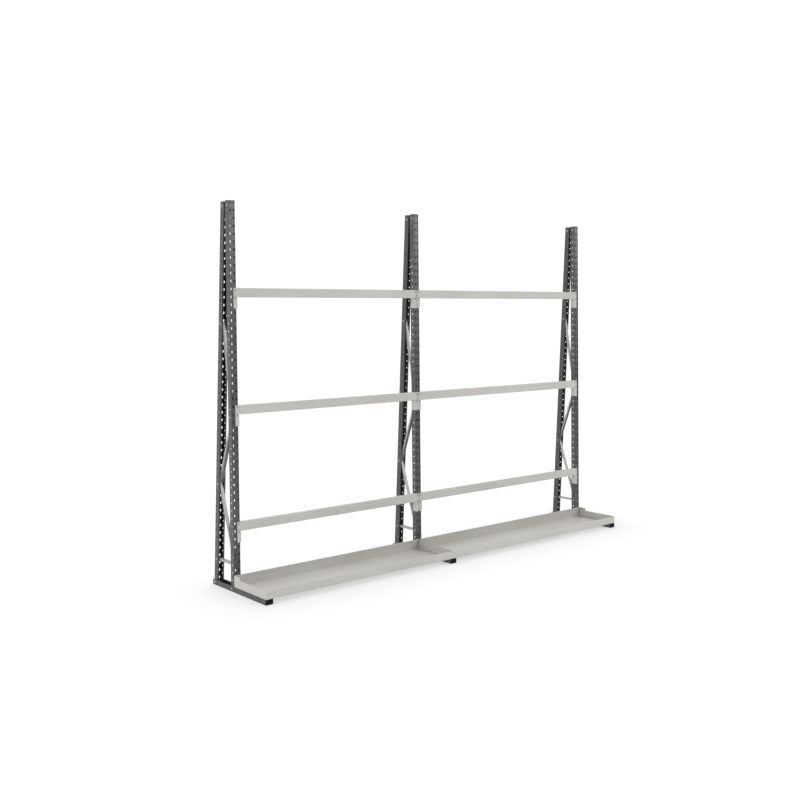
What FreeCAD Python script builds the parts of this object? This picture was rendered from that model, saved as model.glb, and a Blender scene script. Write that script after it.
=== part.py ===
import FreeCAD, Part
import math
import os
import Sketcher

# A two-bay rack for storing long goods upright.
# X runs along the row, Z is up, and the goods are put in from the -Y side.
# The origin is on the floor, under the middle of the rack's length and depth.

Vector = FreeCAD.Vector
doc = FreeCAD.newDocument("LeanInRack")
sheet = doc.addObject("Spreadsheet::Sheet", "Sizes")

# ---------------------------------------------------------------- sizes (mm)

SIZES = {
    # the row: three frames, two bays measured from frame centre to frame centre
    "left_bay": 1550,
    "right_bay": 1800,
    # uprights: a lipped channel with slots in its web and round holes in its sides
    "upright_length": 2500,
    "upright_width": 48,
    "upright_depth": 42,
    "upright_wall": 2,
    "upright_lip": 10,
    "bend_radius": 3,
    "front_lean": 40,
    "rear_lean": 120,
    "frame_depth": 256,
    "hole_pitch": 50,
    "hole_rows": 50,
    "slot_first_row": 37.5,
    "slot_column": 12,
    "slot_width": 10,
    "slot_length": 15,
    "slot_corner": 2,
    "side_first_row": 19,
    "side_hole": 10,
    "side_hole_depth": 21,
    # the foot: a channel open at the top, which holds both uprights
    "foot_length": 642,
    "foot_rear_reach": 12,
    "foot_width": 54,
    "foot_height": 34,
    "foot_wall": 2.5,
    "foot_bolt_hole": 9,
    "anchor_hole": 12,
    "anchor_setback": 150,
    "upright_seat": 4.6,
    "cap_plate": 3,
    "cap_rib": 1,
    "cap_plug_depth": 14,
    "cap_plug_wall": 2,
    "cap_clearance": 0.2,
    # braces between the uprights, and the parts that hold them
    "brace_depth": 14,
    "brace_wall": 1.5,
    "wide_brace": 24,
    "narrow_brace": 20,
    "brace_end": 11,
    "brace_web_setback": 12,
    "brace_hole": 9,
    "horizontal_span": 0,
    "lower_span": 0,
    "middle_span": 0,
    "upper_span": 0,
    "link_width": 26,
    "link_wall": 2,
    "link_height": 70,
    "link_below_joint": 43,
    "link_end": 15,
    "link_run": 0,
    "link_front_hole": 0,
    "link_rear_hole": 0,
    "rivet_shank": 8,
    "rivet_head": 12,
    "rivet_head_height": 1.8,
    "bolt_diameter": 8,
    "bolt_flange": 15.6,
    "bolt_flange_height": 1,
    "bolt_hex": 13,
    "bolt_hex_height": 5.5,
    "sleeve_diameter": 12,
    "sleeve_bore": 8.6,
    # beams and the hooked connectors at their ends; a beam's height puts its
    # connectors' hooks in rows of slots
    "beam_height": 60,
    "beam_depth": 30,
    "beam_wall": 1.5,
    "beam_corner": 3,
    "top_beam": 1945,
    "beam_step": 750,
    "connector_height": 132,
    "connector_wall": 3,
    "connector_corner": 6,
    "connector_side_gap": 3,
    "connector_depth": 32,
    "fit_gap": 0.3,
    "connector_inset": 2.5,
    "hook_inset": 24.5,
    "hook_count": 3,
    "hook_column": 10,
    "hook_thickness": 3,
    "hook_neck": 6,
    "hook_drop": 6.5,
    "hook_seat": 0.9,
    "window_width": 6.5,
    "window_gap": 0.5,
    "pin_hole": 5.5,
    # trays on the feet, in front of the uprights
    "tray_wall": 1.5,
    "tray_lip": 56,
    "tray_back": 76,
    "tray_back_gap": 0.5,
    "tray_front_inset": 1,
    "tray_corner_run": 64,
    "tray_corner_slope": 6,
    "tray_end_overhang": 26,
    "tray_joint_gap": 0.5,
    "tray_hem": 10,
}

for row, (alias, amount) in enumerate(SIZES.items(), start=1):
    sheet.set(f"A{row}", alias)
    sheet.set(f"B{row}", str(amount))
    sheet.setAlias(f"B{row}", alias)
doc.recompute()


def value(expression):
    """The number that an expression over the sheet gives."""
    return float(sheet.evalExpression(expression))


def store(alias, amount):
    """Write a worked-out size into its own cell of the sheet."""
    cell = sheet.getCellFromAlias(alias)
    sheet.set(cell, f"{amount:.6f}")


# ------------------------------------------------------- places in the frame

# The uprights' faces at floor level, and how far each upright is tilted.
FRONT_FACE_Y = value("Sizes.foot_length/2 - Sizes.foot_rear_reach - Sizes.frame_depth")
REAR_FACE_Y = value("Sizes.foot_length/2 - Sizes.foot_rear_reach")
SEAT_Z = value("Sizes.upright_seat")
FRONT_TILT = math.atan(value("Sizes.front_lean/Sizes.upright_length"))
REAR_TILT = math.atan(value("Sizes.rear_lean/Sizes.upright_length"))
HALF_ROW = value("(Sizes.left_bay + Sizes.right_bay)/2")

FRAME_X = {
    "left": -HALF_ROW,
    "middle": -HALF_ROW + value("Sizes.left_bay"),
    "right": HALF_ROW,
}
BAYS = {
    "left": ("left", "middle", "Sizes.left_bay"),
    "right": ("middle", "right", "Sizes.right_bay"),
}
LEVELS = ("top", "centre", "bottom")


def front_point(height):
    """World (y, z) of the front upright's side-hole line at a height along it."""
    depth = value("Sizes.side_hole_depth")
    y = FRONT_FACE_Y + depth*math.cos(FRONT_TILT) + height*math.sin(FRONT_TILT)
    z = SEAT_Z + height*math.cos(FRONT_TILT) - depth*math.sin(FRONT_TILT)
    return y, z


def rear_point(height):
    """World (y, z) of the rear upright's side-hole line at a height along it."""
    depth = value("Sizes.side_hole_depth")
    y = REAR_FACE_Y - depth*math.cos(REAR_TILT) - height*math.sin(REAR_TILT)
    z = SEAT_Z + height*math.cos(REAR_TILT) - depth*math.sin(REAR_TILT)
    return y, z


def front_row(number):
    return front_point(value(f"Sizes.side_first_row + {number}*Sizes.hole_pitch"))


def rear_row(number):
    return rear_point(value(f"Sizes.side_first_row + {number}*Sizes.hole_pitch"))


# Joints, each at one row of side holes. The lowest row takes the foot bolts, and
# the others are riveted.
FOOT_FRONT = front_row(0)
FOOT_REAR = rear_row(0)
BASE_FRONT = front_row(3)
BASE_REAR = rear_row(3)
LOW_REAR = rear_row(13)
MID_FRONT = front_row(22)
HIGH_REAR = rear_row(34)
LINK_FRONT = front_row(49)
LINK_REAR = rear_row(49)

# Each brace runs between two joints. Where two meet, the narrow one goes inside the
# wide one, whose web stops short of the joint to let it in.
BRACES = {
    "horizontal": (BASE_FRONT, BASE_REAR, "Sizes.wide_brace", "Sizes.brace_web_setback"),
    "lower": (BASE_FRONT, LOW_REAR, "Sizes.narrow_brace", None),
    "middle": (MID_FRONT, LOW_REAR, "Sizes.wide_brace", "Sizes.brace_web_setback"),
    "upper": (MID_FRONT, HIGH_REAR, "Sizes.narrow_brace", None),
}
for brace, (start, end, width, web_setback) in BRACES.items():
    store(f"{brace}_span", math.hypot(end[0] - start[0], end[1] - start[1]))

# The link's bottom edge is level, and its two rivets are at different heights.
LINK_BOTTOM_Z = (LINK_FRONT[1] + LINK_REAR[1])/2 - value("Sizes.link_below_joint")
store("link_run", LINK_REAR[0] - LINK_FRONT[0])
store("link_front_hole", LINK_FRONT[1] - LINK_BOTTOM_Z)
store("link_rear_hole", LINK_REAR[1] - LINK_BOTTOM_Z)
doc.recompute()


# --------------------------------------------------------- sketching helpers

def new_body(name):
    body = doc.addObject("PartDesign::Body", name)
    body.Label = name
    return body


def sketch_on(body, role, name):
    """A sketch on one of the body's own origin planes."""
    plane = next(item for item in body.Origin.OriginFeatures if item.Role == role)
    sketch = body.newObject("Sketcher::SketchObject", name)
    sketch.AttachmentSupport = [(plane, "")]
    sketch.MapMode = "FlatFace"
    return sketch


def dimension(sketch, kind, where, expression):
    """Add a driving dimension and bind it to the sheet."""
    number = sketch.addConstraint(Sketcher.Constraint(kind, *where, value(expression)))
    sketch.setExpression(f"Constraints[{number}]", expression)


def outline(sketch, points):
    """A closed polygon whose corners are pairs of expressions."""
    corners = [Vector(value(across), value(up), 0) for across, up in points]
    first = sketch.GeometryCount
    total = len(corners)
    for index, corner in enumerate(corners):
        sketch.addGeometry(Part.LineSegment(corner, corners[(index + 1) % total]), False)
    for index in range(total):
        following = first + (index + 1) % total
        sketch.addConstraint(Sketcher.Constraint("Coincident", first + index, 2, following, 1))
    for index, (across, up) in enumerate(points):
        dimension(sketch, "DistanceX", (-1, 1, first + index, 1), across)
        dimension(sketch, "DistanceY", (-1, 1, first + index, 1), up)


def box_outline(sketch, left, bottom, right, top):
    outline(sketch, [(left, bottom), (right, bottom), (right, top), (left, top)])


def circle(sketch, across, up, diameter):
    centre = Vector(value(across), value(up), 0)
    shape = Part.Circle(centre, Vector(0, 0, 1), value(diameter)/2)
    number = sketch.addGeometry(shape, False)
    dimension(sketch, "DistanceX", (-1, 1, number, 3), across)
    dimension(sketch, "DistanceY", (-1, 1, number, 3), up)
    dimension(sketch, "Radius", (number,), f"({diameter})/2")


def rounded_slot(sketch, across, up, width, length, corner):
    """An upright rectangle with round corners, centred on (across, up)."""
    radius = value(corner)
    reach_x = f"(({width})/2 - {corner})"
    reach_y = f"(({length})/2 - {corner})"
    arcs = []
    for number, (side_x, side_y) in enumerate(((1, 1), (-1, 1), (-1, -1), (1, -1))):
        x = f"({across}) + {side_x}*{reach_x}"
        y = f"({up}) + {side_y}*{reach_y}"
        shape = Part.Circle(Vector(value(x), value(y), 0), Vector(0, 0, 1), radius)
        start = number*math.pi/2
        arc = sketch.addGeometry(Part.ArcOfCircle(shape, start, start + math.pi/2), False)
        dimension(sketch, "DistanceX", (-1, 1, arc, 3), x)
        dimension(sketch, "DistanceY", (-1, 1, arc, 3), y)
        dimension(sketch, "Radius", (arc,), corner)
        arcs.append(arc)
    for number, arc in enumerate(arcs):
        following = arcs[(number + 1) % len(arcs)]
        start = sketch.Geometry[arc].EndPoint
        end = sketch.Geometry[following].StartPoint
        side = sketch.addGeometry(Part.LineSegment(start, end), False)
        sketch.addConstraint(Sketcher.Constraint("Tangent", arc, 2, side, 1))
        sketch.addConstraint(Sketcher.Constraint("Tangent", side, 2, following, 1))


def pad(body, sketch, length, both_ways=False, backwards=False):
    feature = body.newObject("PartDesign::Pad", "Pad")
    feature.Profile = sketch
    feature.Type = "Length"
    feature.SideType = "Symmetric" if both_ways else "One side"
    feature.Reversed = backwards
    feature.setExpression("Length", length)
    sketch.Visibility = False
    doc.recompute()
    return feature


def pocket(body, sketch, length, both_ways=False, backwards=False):
    """Cut a sketch out of the body, and check that it did cut."""
    before = body.Shape.Volume
    feature = body.newObject("PartDesign::Pocket", "Pocket")
    feature.Profile = sketch
    feature.Type = "Length"
    feature.SideType = "Symmetric" if both_ways else "One side"
    feature.Reversed = backwards
    feature.setExpression("Length", length)
    sketch.Visibility = False
    doc.recompute()
    if not body.Shape.Volume < before:
        raise RuntimeError(f"{body.Label}: {sketch.Label} cuts nothing")
    return feature


def repeat_upwards(body, features, pitch, count):
    """Repeat features up the body's Z axis."""
    upward = next(item for item in body.Origin.OriginFeatures if item.Role == "Z_Axis")
    pattern = body.newObject("PartDesign::LinearPattern", "Rows")
    pattern.Originals = features
    pattern.Direction = (upward, [""])
    pattern.Mode = "Spacing"
    pattern.setExpression("Offset", pitch)
    pattern.setExpression("Occurrences", count)
    body.Tip = pattern
    doc.recompute()
    return pattern


def round_edges(body, base, radius, chosen):
    """Fillet the edges of a feature for which chosen(edge) holds."""
    names = [f"Edge{number}" for number, edge in enumerate(base.Shape.Edges, start=1) if chosen(edge)]
    fillet = body.newObject("PartDesign::Fillet", "Bends")
    fillet.Base = (base, names)
    fillet.setExpression("Radius", radius)
    body.Tip = fillet
    doc.recompute()
    return fillet


def runs_along(edge, direction):
    """Whether an edge is straight and parallel to a unit direction."""
    if not isinstance(edge.Curve, Part.Line):
        return False
    return abs(abs(edge.Curve.Direction.dot(direction)) - 1) < 1e-6


def place(item, x, y, z, tilt=0.0, turned=False):
    """Set a placement: half a turn about Z if asked, then a tilt (radians) about X."""
    turn = FreeCAD.Rotation(Vector(0, 0, 1), 180 if turned else 0)
    lean = FreeCAD.Rotation(Vector(1, 0, 0), math.degrees(tilt))
    item.Placement = FreeCAD.Placement(Vector(x, y, z), lean.multiply(turn))


def feature_from(name, shape):
    """A plain feature for a group of separate solids."""
    item = doc.addObject("Part::Feature", name)
    item.Label = name
    item.Shape = shape
    return item


# ------------------------------------------------------------------ uprights

def make_upright(name):
    """A lipped channel: web on Y = 0, open side towards +Y, standing on Z = 0."""
    body = new_body(name)
    half = "Sizes.upright_width/2"
    wall = "Sizes.upright_wall"
    depth = "Sizes.upright_depth"
    inner = f"{half} - {wall}"
    mouth = f"{half} - Sizes.upright_lip"
    section = sketch_on(body, "XY_Plane", f"{name}_section")
    outline(section, [
        (f"-{half}", "0"),
        (half, "0"),
        (half, depth),
        (mouth, depth),
        (mouth, f"{depth} - {wall}"),
        (inner, f"{depth} - {wall}"),
        (inner, wall),
        (f"-({inner})", wall),
        (f"-({inner})", f"{depth} - {wall}"),
        (f"-({mouth})", f"{depth} - {wall}"),
        (f"-({mouth})", depth),
        (f"-{half}", depth),
    ])
    channel = pad(body, section, "Sizes.upright_length")

    outer_x = value(half)

    def outer_bend(edge):
        return runs_along(edge, Vector(0, 0, 1)) and abs(abs(edge.BoundBox.Center.x) - outer_x) < 1e-3

    round_edges(body, channel, "Sizes.bend_radius/2", outer_bend)

    slots = sketch_on(body, "XZ_Plane", f"{name}_slots")
    for side in ("-", ""):
        rounded_slot(slots, f"{side}Sizes.slot_column", "Sizes.slot_first_row",
                     "Sizes.slot_width", "Sizes.slot_length", "Sizes.slot_corner")
    web_slots = pocket(body, slots, "2*Sizes.upright_wall")
    holes = sketch_on(body, "YZ_Plane", f"{name}_holes")
    circle(holes, "Sizes.side_hole_depth", "Sizes.side_first_row", "Sizes.side_hole")
    side_holes = pocket(body, holes, "2*Sizes.upright_width", both_ways=True)
    repeat_upwards(body, [web_slots, side_holes], "Sizes.hole_pitch", "Sizes.hole_rows")
    return body


# ---------------------------------------------------------------------- feet

def make_foot(name):
    """A channel open at the top, with its length centred on Y = 0 but for the cap."""
    body = new_body(name)
    half = "Sizes.foot_width/2"
    wall = "Sizes.foot_wall"
    height = "Sizes.foot_height"
    inner = f"{half} - {wall}"
    section = sketch_on(body, "XZ_Plane", f"{name}_section")
    outline(section, [
        (f"-{half}", "0"),
        (half, "0"),
        (half, height),
        (inner, height),
        (inner, wall),
        (f"-({inner})", wall),
        (f"-({inner})", height),
        (f"-{half}", height),
    ])
    channel = pad(body, section, "Sizes.foot_length - Sizes.cap_plate - Sizes.cap_rib", backwards=True)
    outer_x = value(half)

    def bottom_bend(edge):
        return (runs_along(edge, Vector(0, 1, 0)) and abs(edge.BoundBox.Center.z) < 1e-3
                and abs(abs(edge.BoundBox.Center.x) - outer_x) < 1e-3)

    round_edges(body, channel, "Sizes.bend_radius/2", bottom_bend)

    bolts = sketch_on(body, "YZ_Plane", f"{name}_bolt_holes")
    for y, z in (FOOT_FRONT, FOOT_REAR):
        circle(bolts, f"{y - foot_start_y()}", f"{z}", "Sizes.foot_bolt_hole")
    pocket(body, bolts, "2*Sizes.foot_width", both_ways=True)
    anchor = sketch_on(body, "XY_Plane", f"{name}_anchor_hole")
    rear_end = "Sizes.foot_length - Sizes.cap_plate - Sizes.cap_rib"
    circle(anchor, "0", f"{rear_end} - Sizes.anchor_setback", "Sizes.anchor_hole")
    pocket(body, anchor, "2*Sizes.foot_wall", both_ways=True)
    return body


def foot_start_y():
    """Where the foot's channel begins, behind its end cap."""
    return value("-Sizes.foot_length/2 + Sizes.cap_plate + Sizes.cap_rib")


def make_cap(name):
    """A plug for the front end of a foot: ribbed plate on Y = 0, hollow plug behind."""
    body = new_body(name)
    half = "Sizes.foot_width/2"
    plate = sketch_on(body, "XZ_Plane", f"{name}_plate")
    box_outline(plate, f"-{half}", "0", half, "Sizes.foot_height")
    pad(body, plate, "Sizes.cap_plate", backwards=True)
    ribs = sketch_on(body, "XZ_Plane", f"{name}_ribs")
    rib_count = 4
    for number in range(rib_count):
        left = f"-{half} + {2*number + 1}*Sizes.foot_width/{2*rib_count + 1}"
        right = f"{left} + Sizes.foot_width/{2*rib_count + 1}"
        box_outline(ribs, left, "Sizes.foot_height/8", right, "Sizes.foot_height*7/8")
    pad(body, ribs, "Sizes.cap_rib")
    inset = "(Sizes.foot_wall + Sizes.cap_clearance)"
    plug_half = f"{half} - {inset}"
    plug = sketch_on(body, "XZ_Plane", f"{name}_plug")
    box_outline(plug, f"-({plug_half})", inset, plug_half, "Sizes.foot_height - Sizes.cap_clearance")
    pad(body, plug, "Sizes.cap_plate + Sizes.cap_plug_depth", backwards=True)
    hollow = sketch_on(body, "XZ_Plane", f"{name}_hollow")
    hollow.AttachmentOffset = FreeCAD.Placement(Vector(0, 0, -value("Sizes.cap_plate")), FreeCAD.Rotation())
    wall = "Sizes.cap_plug_wall"
    box_outline(hollow, f"-({plug_half} - {wall})", f"{inset} + {wall}", f"{plug_half} - {wall}",
                f"Sizes.foot_height - Sizes.cap_clearance - {wall}")
    pocket(body, hollow, "2*Sizes.cap_plug_depth")
    return body


# ----------------------------------------------------------- braces and link

def make_brace(name, width, span, web_setback):
    """A light channel along Z between two rivets, with its web on the -Y side.

    Its web stops web_setback short of each rivet, or runs to both ends if that is None.
    """
    body = new_body(name)
    half = f"{width}/2"
    wall = "Sizes.brace_wall"
    front = "-Sizes.brace_depth/2"
    rear = "Sizes.brace_depth/2"
    section = sketch_on(body, "XY_Plane", f"{name}_section")
    outline(section, [
        (f"-{half}", front),
        (half, front),
        (half, rear),
        (f"{half} - {wall}", rear),
        (f"{half} - {wall}", f"{front} + {wall}"),
        (f"-({half} - {wall})", f"{front} + {wall}"),
        (f"-({half} - {wall})", rear),
        (f"-{half}", rear),
    ])
    section.AttachmentOffset = FreeCAD.Placement(Vector(0, 0, -value("Sizes.brace_end")), FreeCAD.Rotation())
    pad(body, section, f"{span} + 2*Sizes.brace_end")
    if web_setback:
        inner = f"{half} - {wall}"
        lugs = sketch_on(body, "XZ_Plane", f"{name}_web_ends")
        box_outline(lugs, f"-({inner})", "-2*Sizes.brace_end", inner, web_setback)
        box_outline(lugs, f"-({inner})", f"{span} - {web_setback}", inner, f"{span} + 2*Sizes.brace_end")
        pocket(body, lugs, "2*Sizes.brace_depth", both_ways=True)
    holes = sketch_on(body, "YZ_Plane", f"{name}_holes")
    circle(holes, "0", "0", "Sizes.brace_hole")
    circle(holes, "0", span, "Sizes.brace_hole")
    pocket(body, holes, "2*Sizes.foot_width", both_ways=True)
    return body


def make_link(name):
    """A folded link that ties the two uprights together near their tops."""
    body = new_body(name)
    half = "Sizes.link_width/2"
    wall = "Sizes.link_wall"
    front = "-Sizes.link_end"
    rear = "Sizes.link_run + Sizes.link_end"
    section = sketch_on(body, "XY_Plane", f"{name}_section")
    outline(section, [
        (f"-{half}", front),
        (half, front),
        (half, rear),
        (f"{half} - {wall}", rear),
        (f"{half} - {wall}", f"{front} + {wall}"),
        (f"-({half} - {wall})", f"{front} + {wall}"),
        (f"-({half} - {wall})", rear),
        (f"-{half}", rear),
    ])
    pad(body, section, "Sizes.link_height")
    holes = sketch_on(body, "YZ_Plane", f"{name}_holes")
    circle(holes, "0", "Sizes.link_front_hole", "Sizes.brace_hole")
    circle(holes, "Sizes.link_run", "Sizes.link_rear_hole", "Sizes.brace_hole")
    pocket(body, holes, "2*Sizes.link_width", both_ways=True)
    return body


# ----------------------------------------------------------------- fasteners

def hexagon(across_flats, height, base, direction):
    """A hexagonal prism standing on base and growing along direction (+X or -X)."""
    radius = across_flats/math.sqrt(3)
    corners = []
    for number in range(6):
        angle = math.radians(60*number)
        corners.append(base + Vector(0, radius*math.cos(angle), radius*math.sin(angle)))
    face = Part.Face(Part.makePolygon(corners + corners[:1]))
    return face.extrude(direction*height)


def bolt_and_nut(y, z, half_grip):
    """A flanged bolt along X through a grip centred on X = 0, and its flanged nut."""
    radius = value("Sizes.bolt_diameter/2")
    flange = value("Sizes.bolt_flange/2")
    flange_height = value("Sizes.bolt_flange_height")
    hex_size = value("Sizes.bolt_hex")
    hex_height = value("Sizes.bolt_hex_height")
    left, right = Vector(-1, 0, 0), Vector(1, 0, 0)
    head_base = Vector(-half_grip, y, z)
    nut_base = Vector(half_grip, y, z)
    tip = 2*half_grip + flange_height + hex_height
    bolt = Part.makeCylinder(radius, tip, head_base, right)
    bolt = bolt.fuse(Part.makeCylinder(flange, flange_height, head_base, left))
    bolt = bolt.fuse(hexagon(hex_size, hex_height, head_base + left*flange_height, left))
    nut = Part.makeCylinder(flange, flange_height, nut_base, right)
    nut = nut.fuse(hexagon(hex_size, hex_height, nut_base + right*flange_height, right))
    nut = nut.cut(Part.makeCylinder(radius, tip, nut_base, right))
    return [bolt.removeSplitter(), nut.removeSplitter()]


def make_brace_rivets(name):
    """Rivets along X through both side walls, with low heads that the connectors clear."""
    half_grip = value("Sizes.upright_width/2")
    head_height = value("Sizes.rivet_head_height")
    right = Vector(1, 0, 0)
    solids = []
    for y, z in (BASE_FRONT, BASE_REAR, LOW_REAR, MID_FRONT, HIGH_REAR, LINK_FRONT, LINK_REAR):
        start = Vector(-half_grip, y, z)
        rivet = Part.makeCylinder(value("Sizes.rivet_shank/2"), 2*half_grip, start, right)
        for head_x in (-half_grip - head_height, half_grip):
            base = Vector(head_x, y, z)
            rivet = rivet.fuse(Part.makeCylinder(value("Sizes.rivet_head/2"), head_height, base, right))
        solids.append(rivet.removeSplitter())
    return feature_from(name, Part.makeCompound(solids))


def make_foot_bolts(name):
    half_grip = value("Sizes.foot_width/2")
    solids = []
    for y, z in (FOOT_FRONT, FOOT_REAR):
        solids += bolt_and_nut(y, z, half_grip)
    return feature_from(name, Part.makeCompound(solids))


def make_sleeves(name):
    """Spacer sleeves on the brace rivets, between the upright's sides and the brace."""
    wall_x = value("Sizes.upright_width/2 - Sizes.upright_wall")
    joints = [
        (BASE_FRONT, "Sizes.wide_brace"),
        (BASE_REAR, "Sizes.wide_brace"),
        (LOW_REAR, "Sizes.wide_brace"),
        (MID_FRONT, "Sizes.wide_brace"),
        (HIGH_REAR, "Sizes.narrow_brace"),
        (LINK_FRONT, "Sizes.link_width"),
        (LINK_REAR, "Sizes.link_width"),
    ]
    solids = []
    for (y, z), width in joints:
        length = wall_x - value(f"{width}/2")
        for start_x in (-wall_x, wall_x - length):
            start = Vector(start_x, y, z)
            tube = Part.makeCylinder(value("Sizes.sleeve_diameter/2"), length, start, Vector(1, 0, 0))
            bore = Part.makeCylinder(value("Sizes.sleeve_bore/2"), length, start, Vector(1, 0, 0))
            solids.append(tube.cut(bore))
    return feature_from(name, Part.makeCompound(solids))


# ------------------------------------------------------ beams and connectors

def make_beam(name, bay):
    """A closed tube along X from X = 0, in the front uprights' own leaning frame."""
    body = new_body(name)
    wall = "Sizes.beam_wall"
    front = "-Sizes.fit_gap - Sizes.connector_wall"
    rear = f"{front} + Sizes.beam_depth"
    length = f"{bay} - Sizes.upright_width - 2*(Sizes.connector_side_gap + Sizes.connector_wall)"
    outer = sketch_on(body, "YZ_Plane", f"{name}_outer")
    box_outline(outer, front, "-Sizes.beam_height", rear, "0")
    tube = pad(body, outer, length)
    round_edges(body, tube, "Sizes.beam_corner", lambda edge: runs_along(edge, Vector(1, 0, 0)))
    hollow = sketch_on(body, "YZ_Plane", f"{name}_hollow")
    box_outline(hollow, f"{front} + {wall}", f"{wall} - Sizes.beam_height", f"{rear} - {wall}", f"-{wall}")
    pocket(body, hollow, f"2*({length})", both_ways=True)
    return body


def make_connector(name, side):
    """An angle with hooks. side is "" at a beam's left end and "-" at its right end.

    X is measured from the centre of the upright that it hooks on to, and Z from
    the top of the beam.
    """
    body = new_body(name)
    sign = f"{side}1"
    face = "-Sizes.fit_gap"
    front = f"{face} - Sizes.connector_wall"
    inner_x = "(Sizes.upright_width/2 + Sizes.connector_side_gap)"
    outer_x = f"({inner_x} + Sizes.connector_wall)"
    plan = sketch_on(body, "XY_Plane", f"{name}_plan")
    outline(plan, [
        (f"{sign}*Sizes.connector_inset", front),
        (f"{sign}*{outer_x}", front),
        (f"{sign}*{outer_x}", "Sizes.connector_depth"),
        (f"{sign}*{inner_x}", "Sizes.connector_depth"),
        (f"{sign}*{inner_x}", face),
        (f"{sign}*Sizes.connector_inset", face),
    ])
    bottom = value("-Sizes.connector_height")
    plan.AttachmentOffset = FreeCAD.Placement(Vector(0, 0, bottom), FreeCAD.Rotation())
    angle = pad(body, plan, "Sizes.connector_height")

    inner_edge_x = value(f"{sign}*Sizes.connector_inset")
    depth_y = value("Sizes.connector_depth")

    def free_corner(edge):
        middle = edge.BoundBox.Center
        across_front = runs_along(edge, Vector(0, 1, 0)) and abs(middle.x - inner_edge_x) < 1e-3
        across_side = runs_along(edge, Vector(1, 0, 0)) and abs(middle.y - depth_y) < 1e-3
        return (across_front or across_side) and abs(middle.z - bottom) < 1e-3

    round_edges(body, angle, "Sizes.connector_corner", free_corner)

    # Hooks: a neck through the slot, and a tongue that hangs behind the web.
    hooks = sketch_on(body, "YZ_Plane", f"{name}_hook")
    lowest_row = f"({bottom} + Sizes.hook_inset)"
    neck_bottom = f"{lowest_row} - Sizes.slot_length/2 + Sizes.hook_seat"
    neck_top = f"{neck_bottom} + Sizes.hook_neck"
    behind = "(Sizes.upright_wall + Sizes.fit_gap)"
    outline(hooks, [
        (face, neck_bottom),
        (behind, neck_bottom),
        (behind, f"{neck_bottom} - Sizes.hook_drop"),
        (f"{behind} + Sizes.connector_wall", f"{neck_bottom} - Sizes.hook_drop"),
        (f"{behind} + Sizes.connector_wall", neck_top),
        (face, neck_top),
    ])
    column = value(f"{sign}*Sizes.hook_column")
    hooks.AttachmentOffset = FreeCAD.Placement(Vector(0, 0, column), FreeCAD.Rotation())
    hook = pad(body, hooks, "Sizes.hook_thickness", both_ways=True)
    repeat_upwards(body, [hook], "Sizes.hole_pitch", "Sizes.hook_count")

    # Windows beside the two upper hooks, where the hooks were pressed out, and a
    # hole for a safety pin over the free part of the middle slot.
    openings = sketch_on(body, "XZ_Plane", f"{name}_openings")
    beside_hook = "(Sizes.hook_column + Sizes.hook_thickness/2 + Sizes.window_gap)"
    for number in (1, 2):
        low = f"{neck_bottom} - Sizes.hook_drop + {number}*Sizes.hole_pitch"
        high = f"{neck_top} + {number}*Sizes.hole_pitch"
        far_side = f"({beside_hook} + Sizes.window_width)"
        box_outline(openings, f"{sign}*{beside_hook}", low, f"{sign}*{far_side}", high)
    slot_top = f"{lowest_row} + Sizes.hole_pitch + Sizes.slot_length/2"
    free_length = "(Sizes.slot_length - Sizes.hook_seat - Sizes.hook_neck)"
    circle(openings, f"{sign}*Sizes.slot_column", f"{slot_top} - {free_length}/2", "Sizes.pin_hole")
    pocket(body, openings, "2*(Sizes.fit_gap + Sizes.connector_wall)", backwards=True)
    return body


# --------------------------------------------------------------------- trays

def make_tray(name, start_expression, end_expression):
    """A folded tray from X = start to X = end, with its floor's underside on Z = 0."""
    body = new_body(name)
    wall = "Sizes.tray_wall"
    front = "0"
    depth = f"({tray_depth()})"
    outer = sketch_on(body, "XY_Plane", f"{name}_outer")
    box_outline(outer, start_expression, front, end_expression, depth)
    pad(body, outer, "Sizes.tray_back")
    inner = sketch_on(body, "XY_Plane", f"{name}_inner")
    inner.AttachmentOffset = FreeCAD.Placement(Vector(0, 0, value(wall)), FreeCAD.Rotation())
    box_outline(inner, f"{start_expression} + {wall}", wall, f"{end_expression} - {wall}", f"{depth} - {wall}")
    pocket(body, inner, "2*Sizes.tray_back", backwards=True)
    # The sides drop from the back panel's height to the lip's height.
    sides = sketch_on(body, "YZ_Plane", f"{name}_sides")
    outline(sides, [
        ("-10*Sizes.tray_wall", "Sizes.tray_lip"),
        (f"{depth} - Sizes.tray_corner_run - Sizes.tray_corner_slope", "Sizes.tray_lip"),
        (f"{depth} - Sizes.tray_corner_run", "2*Sizes.tray_back - Sizes.tray_lip"),
        ("-10*Sizes.tray_wall", "2*Sizes.tray_back - Sizes.tray_lip"),
    ])
    pocket(body, sides, "4*(Sizes.left_bay + Sizes.right_bay)", both_ways=True)
    # Folded hems stiffen the lip and the back panel.
    for label, near, top in (("lip", wall, "Sizes.tray_lip"), ("back", f"{depth} - 2*{wall}", "Sizes.tray_back")):
        hem = sketch_on(body, "XY_Plane", f"{name}_{label}_hem")
        offset = Vector(0, 0, value(f"{top} - Sizes.tray_hem"))
        hem.AttachmentOffset = FreeCAD.Placement(offset, FreeCAD.Rotation())
        box_outline(hem, f"{start_expression} + {wall}", near, f"{end_expression} - {wall}", f"{near} + {wall}")
        pad(body, hem, "Sizes.tray_hem")
    return body


def tray_front_y():
    return value("-Sizes.foot_length/2 + Sizes.tray_front_inset")


def tray_depth():
    return FRONT_FACE_Y - value("Sizes.tray_back_gap") - tray_front_y()


# ------------------------------------------------------------ the assembly

parts = []

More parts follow.
